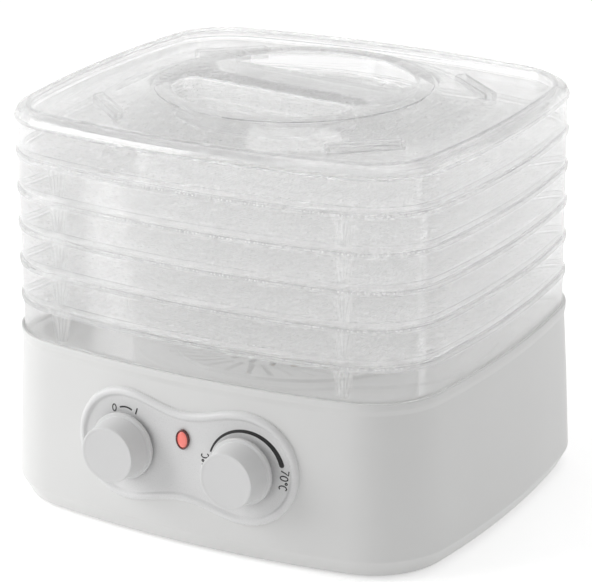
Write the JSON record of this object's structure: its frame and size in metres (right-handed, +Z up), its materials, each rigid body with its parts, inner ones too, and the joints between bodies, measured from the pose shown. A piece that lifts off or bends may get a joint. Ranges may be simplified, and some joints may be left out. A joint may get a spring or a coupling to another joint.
{
  "type": "food dehydrator",
  "caption": "Electric food dehydrator: white fan-heater base with two dials and a pilot lamp, stacking clear lattice trays and a clear lid with finger wells.",
  "frame": {"origin": "under the middle of the base, on the plane the five rubber feet stand on", "axes": "+X to the right seen from the control side, -Y out of the control panel, +Z up through the fan and the tray stack"},
  "size_m": [0.2884, 0.2742, 0.241],
  "materials": {
    "white_abs": "satin",
    "panel_abs": "satin",
    "knob_abs": "satin",
    "rubber": "matte",
    "zinc_steel": "satin",
    "switch_body": "matte",
    "thermostat_ceramic": "matte",
    "bezel_red": "gloss",
    "lens_red": "gloss",
    "neon_glass": "gloss",
    "duct_nylon": "matte",
    "mica": "matte",
    "heater_wire": "satin",
    "lamination_steel": "satin",
    "copper_winding": "satin",
    "sintered_bronze": "satin",
    "rotor_steel": "satin",
    "fan_nylon": "matte",
    "terminal_nylon": "matte",
    "wire_silicone": "satin",
    "clear_plastic": "gloss"
  },
  "bodies": {
    "base": {"base_housing": "white_abs", "base_deck": "white_abs", "bottom_cover": "white_abs", "rubber_feet": "rubber", "case_screws": "zinc_steel", "control_panel": "panel_abs", "rotary_switch": "switch_body", "thermostat_body": "thermostat_ceramic", "indicator_bezel": "bezel_red", "indicator_lens": "lens_red", "indicator_lamp": "neon_glass", "air_grille": "white_abs", "air_duct": "duct_nylon", "heater_frame": "mica", "heater_coil": "heater_wire", "thermal_cutout": "zinc_steel", "motor_stator": "lamination_steel", "motor_coil": "copper_winding", "motor_brackets": "zinc_steel", "motor_bearings": "sintered_bronze", "cord_gland": "rubber", "terminal_block": "terminal_nylon", "wiring_loom": "wire_silicone"},
    "switch_dial": {"switch_knob": "knob_abs", "switch_shaft": "zinc_steel"},
    "thermostat_dial": {"thermostat_knob": "knob_abs", "thermostat_shaft": "zinc_steel"},
    "fan": {"motor_rotor": "rotor_steel", "fan_impeller": "fan_nylon", "fan_nut": "zinc_steel"},
    "tray_5_body": {"tray_5": "clear_plastic", "tray_5_floor": "clear_plastic"},
    "tray_4_body": {"tray_4": "clear_plastic", "tray_4_floor": "clear_plastic"},
    "tray_3_body": {"tray_3": "clear_plastic", "tray_3_floor": "clear_plastic"},
    "tray_2_body": {"tray_2": "clear_plastic", "tray_2_floor": "clear_plastic"},
    "tray_1_body": {"tray_1": "clear_plastic", "tray_1_floor": "clear_plastic"},
    "lid_body": {"lid": "clear_plastic"}
  },
  "joints": [
    {"name": "switch_turn", "type": "hinge", "parent": "base", "child": "switch_dial", "pos_m": [-0.0385, -0.14, 0.0565], "axis": [0, 1, 0], "range_deg": [0, 40]},
    {"name": "thermostat_turn", "type": "hinge", "parent": "base", "child": "thermostat_dial", "pos_m": [0.0385, -0.14, 0.0565], "axis": [0, 1, 0], "range_deg": [0, 160]},
    {"name": "fan_spin", "type": "hinge", "parent": "base", "child": "fan", "pos_m": [0, 0, 0.05], "axis": [0, 0, 1], "continuous": true},
    {"name": "tray_5_lift", "type": "slide", "parent": "base", "child": "tray_5_body", "axis": [0, 0, 1], "range_m": [0, 0.06]},
    {"name": "tray_4_lift", "type": "slide", "parent": "tray_5_body", "child": "tray_4_body", "axis": [0, 0, 1], "range_m": [0, 0.06]},
    {"name": "tray_3_lift", "type": "slide", "parent": "tray_4_body", "child": "tray_3_body", "axis": [0, 0, 1], "range_m": [0, 0.06]},
    {"name": "tray_2_lift", "type": "slide", "parent": "tray_3_body", "child": "tray_2_body", "axis": [0, 0, 1], "range_m": [0, 0.06]},
    {"name": "tray_1_lift", "type": "slide", "parent": "tray_2_body", "child": "tray_1_body", "axis": [0, 0, 1], "range_m": [0, 0.06]},
    {"name": "lid_lift", "type": "slide", "parent": "tray_1_body", "child": "lid_body", "axis": [0, 0, 1], "range_m": [0, 0.06]}
  ]
}
